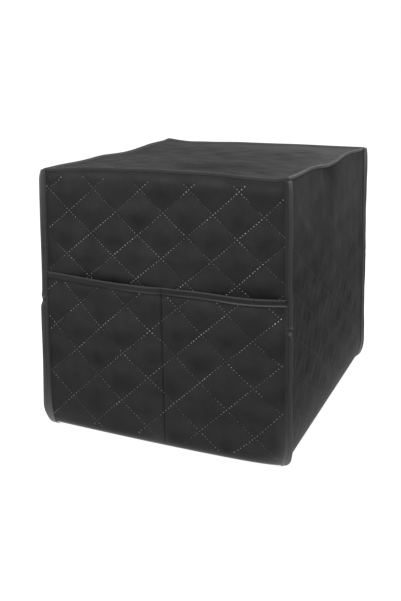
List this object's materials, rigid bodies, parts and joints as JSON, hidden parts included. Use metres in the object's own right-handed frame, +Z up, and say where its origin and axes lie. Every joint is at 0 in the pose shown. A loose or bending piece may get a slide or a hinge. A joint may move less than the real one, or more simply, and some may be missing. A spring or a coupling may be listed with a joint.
{
  "type": "coffee machine cover",
  "caption": "Soft quilted box cover, open below, that slips over a coffee machine; bound seams stand out and a sewn panel on the front forms two open-topped pockets.",
  "frame": {"origin": "the middle of the underside of the top panel, where the machine's top carries the cover", "axes": "+Z up; +X to the right of someone who faces the pockets, along the cover's width; the pockets face -Y"},
  "size_m": [0.3672, 0.3629, 0.3661],
  "materials": {
    "quilted_cloth": "charcoal quilted cloth, matt, diamond quilting in pale stitches",
    "binding_tape": "dark grey bias tape, matt with a soft sheen on its folded edge"
  },
  "bodies": {
    "root": {"panel_front": "quilted_cloth", "panel_right": "quilted_cloth", "panel_back": "quilted_cloth", "panel_left": "quilted_cloth", "panel_top": "quilted_cloth", "pocket_panel": "quilted_cloth", "pocket_binding": "binding_tape", "binding_front_left": "binding_tape", "binding_front_right": "binding_tape", "binding_back_right": "binding_tape", "binding_back_left": "binding_tape", "binding_top": "binding_tape"}
  },
  "joints": []
}
